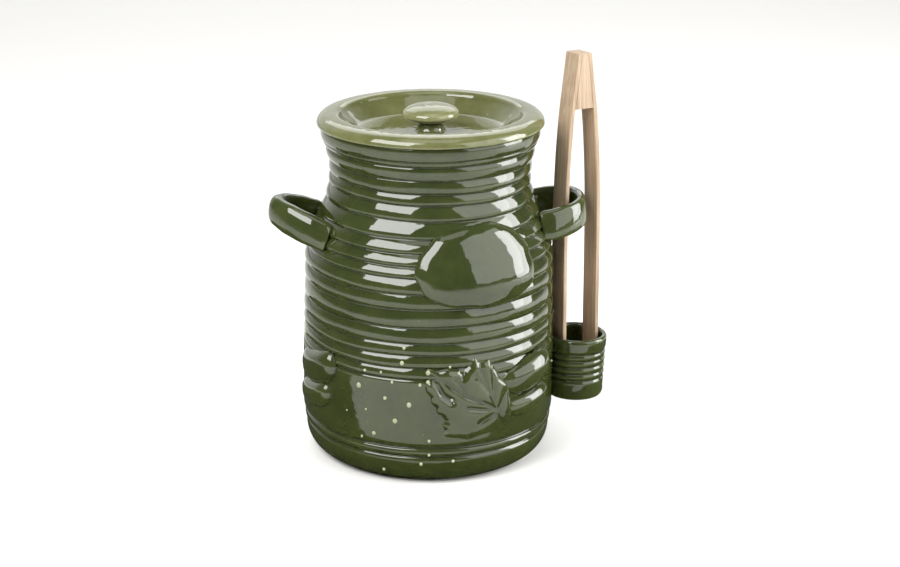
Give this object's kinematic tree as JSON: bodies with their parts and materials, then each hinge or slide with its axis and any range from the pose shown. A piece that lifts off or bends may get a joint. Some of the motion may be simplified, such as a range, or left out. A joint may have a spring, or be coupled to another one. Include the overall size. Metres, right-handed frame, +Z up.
{
  "type": "pickle crock",
  "caption": "Ribbed stoneware gherkin crock with loop handles, sunken lid, mushroom knob, leaf and gherkin reliefs, and wooden tongs standing in a small cup on its side.",
  "frame": {"origin": "centre of the pot's flat foot, on the ground", "axes": "+Z up along the pot's turning axis, +X through the right handle towards the tong cup, -Y the decorated front"},
  "size_m": [0.2308, 0.1718, 0.2682],
  "materials": {
    "green_glaze": "glossy translucent olive green glaze",
    "pale_green_glaze": "glossy green glaze, thinner and paler",
    "beech": "planed and untreated"
  },
  "bodies": {
    "crock": {"crock_body": "green_glaze", "right_handle": "green_glaze", "left_handle": "green_glaze", "tong_cup": "green_glaze", "oval_plaque": "green_glaze", "leaf_sprig": "green_glaze", "right_gherkin_upper": "green_glaze", "right_gherkin_lower": "green_glaze", "left_gherkin_upper": "green_glaze", "left_gherkin_lower": "green_glaze"},
    "lid": {"lid_dish": "pale_green_glaze", "lid_knob": "pale_green_glaze"},
    "tongs": {"tong_block": "beech"},
    "inner_arm": {"inner_tong_arm": "beech"},
    "outer_arm": {"outer_tong_arm": "beech"}
  },
  "joints": [
    {"name": "lid_lift", "type": "slide", "parent": "crock", "child": "lid", "axis": [0, 0, 1], "range_m": [0, 0.08]},
    {"name": "tongs_lift", "type": "slide", "parent": "crock", "child": "tongs", "axis": [0, 0.0454, 0.999], "range_m": [0, 0.25]},
    {"name": "inner_arm_squeeze", "type": "hinge", "parent": "tongs", "child": "inner_arm", "pos_m": [0.09428, 0.00012, 0.23116], "axis": [0.342, -0.9387, 0.0426], "range_deg": [0, 1.6], "stiffness_Nm_per_rad": 4.8},
    {"name": "outer_arm_squeeze", "type": "hinge", "parent": "tongs", "child": "outer_arm", "pos_m": [0.10762, 0.00497, 0.23094], "axis": [-0.342, 0.9387, -0.0426], "range_deg": [0, 1.6], "stiffness_Nm_per_rad": 4.8}
  ],
  "couplings": [
    {"joint": "outer_arm_squeeze", "follows": "inner_arm_squeeze", "ratio": 1}
  ]
}
